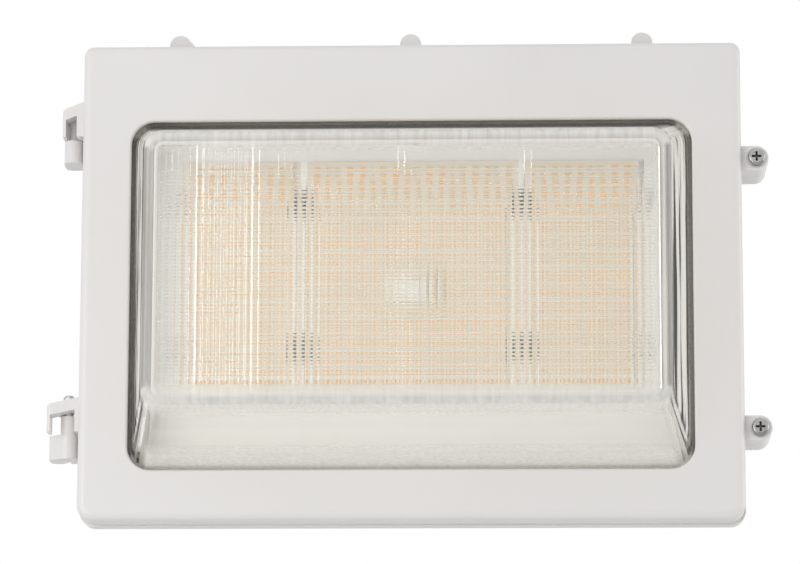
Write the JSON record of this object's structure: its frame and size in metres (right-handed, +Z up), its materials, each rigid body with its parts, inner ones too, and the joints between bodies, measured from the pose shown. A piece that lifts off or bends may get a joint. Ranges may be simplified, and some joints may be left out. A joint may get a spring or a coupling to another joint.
{
  "type": "wall pack light",
  "caption": "Wall-mounted outdoor light: a cast box with a hinged door that carries a deep prismatic glass in front of LED boards.",
  "frame": {"origin": "centre of the four wall screw holes, on the housing's flat back face", "axes": "+X to the right as seen from the front, +Z up, +Y into the wall; the glass looks along -Y"},
  "size_m": [0.3622, 0.1824, 0.2534],
  "materials": {
    "housing_coat": "white polyester powder coat on die-cast aluminium",
    "door_coat": "white polyester powder coat on die-cast aluminium",
    "pressed_glass": "pressed borosilicate with prisms inside and out",
    "grey_silicone": "moulded silicone",
    "zinc_steel": "zinc plated",
    "stainless_screw": "passivated stainless",
    "stainless_washer": "passivated stainless",
    "spring_steel": "rolled",
    "white_plate": "gloss white reflector paint",
    "board_mask": "white solder mask",
    "led_phosphor": "yellow phosphor in a white package",
    "white_plastic": "moulded",
    "driver_case": "formed sheet",
    "black_plastic": "moulded",
    "lead_insulation": "extruded",
    "led_lead_jacket": "extruded",
    "green_screw": "green dyed zinc",
    "plug_coat": "white powder coat"
  },
  "bodies": {
    "housing": {"housing": "housing_coat", "door_gasket": "grey_silicone", "hinge_pin_upper": "housing_coat", "hinge_pin_lower": "zinc_steel", "led_plate": "white_plate", "plate_screws": "zinc_steel", "led_board_left": "board_mask", "led_board_centre": "board_mask", "led_board_right": "board_mask", "leds_left": "led_phosphor", "leds_centre": "led_phosphor", "leds_right": "led_phosphor", "board_screws": "zinc_steel", "wire_cover": "white_plastic", "led_driver": "driver_case", "driver_screws": "zinc_steel", "terminal_block": "black_plastic", "terminal_screws": "zinc_steel", "supply_leads": "lead_insulation", "led_lead": "led_lead_jacket", "ground_screw": "green_screw", "conduit_plugs": "plug_coat", "plug_seals": "grey_silicone"},
    "door": {"door_frame": "door_coat", "glass_refractor": "pressed_glass", "glass_gasket": "grey_silicone", "glass_clips": "spring_steel", "clip_screws": "zinc_steel"},
    "upper_screw_washer": {"upper_screw_washer": "stainless_washer"},
    "upper_screw": {"upper_screw": "stainless_screw"},
    "lower_screw_washer": {"lower_screw_washer": "stainless_washer"},
    "lower_screw": {"lower_screw": "stainless_screw"}
  },
  "joints": [
    {"name": "door_swing", "type": "hinge", "parent": "housing", "child": "door", "pos_m": [-0.1725, -0.1024, 0], "axis": [0, 0, -1], "range_deg": [0, 120]},
    {"name": "upper_screw_travel", "type": "slide", "parent": "door", "child": "upper_screw_washer", "axis": [0, -1, 0], "range_m": [0, 0.0087]},
    {"name": "upper_screw_turn", "type": "hinge", "parent": "upper_screw_washer", "child": "upper_screw", "pos_m": [0.1736, -0.1154, 0.062], "axis": [0, -1, 0], "range_deg": [0, 3960]},
    {"name": "lower_screw_travel", "type": "slide", "parent": "door", "child": "lower_screw_washer", "axis": [0, -1, 0], "range_m": [0, 0.0087]},
    {"name": "lower_screw_turn", "type": "hinge", "parent": "lower_screw_washer", "child": "lower_screw", "pos_m": [0.1736, -0.1154, -0.0752], "axis": [0, -1, 0], "range_deg": [0, 3960]}
  ],
  "couplings": [
    {"joint": "upper_screw_turn", "follows": "upper_screw_travel", "rad_per_m": 7913.3},
    {"joint": "lower_screw_turn", "follows": "lower_screw_travel", "rad_per_m": 7913.3}
  ]
}
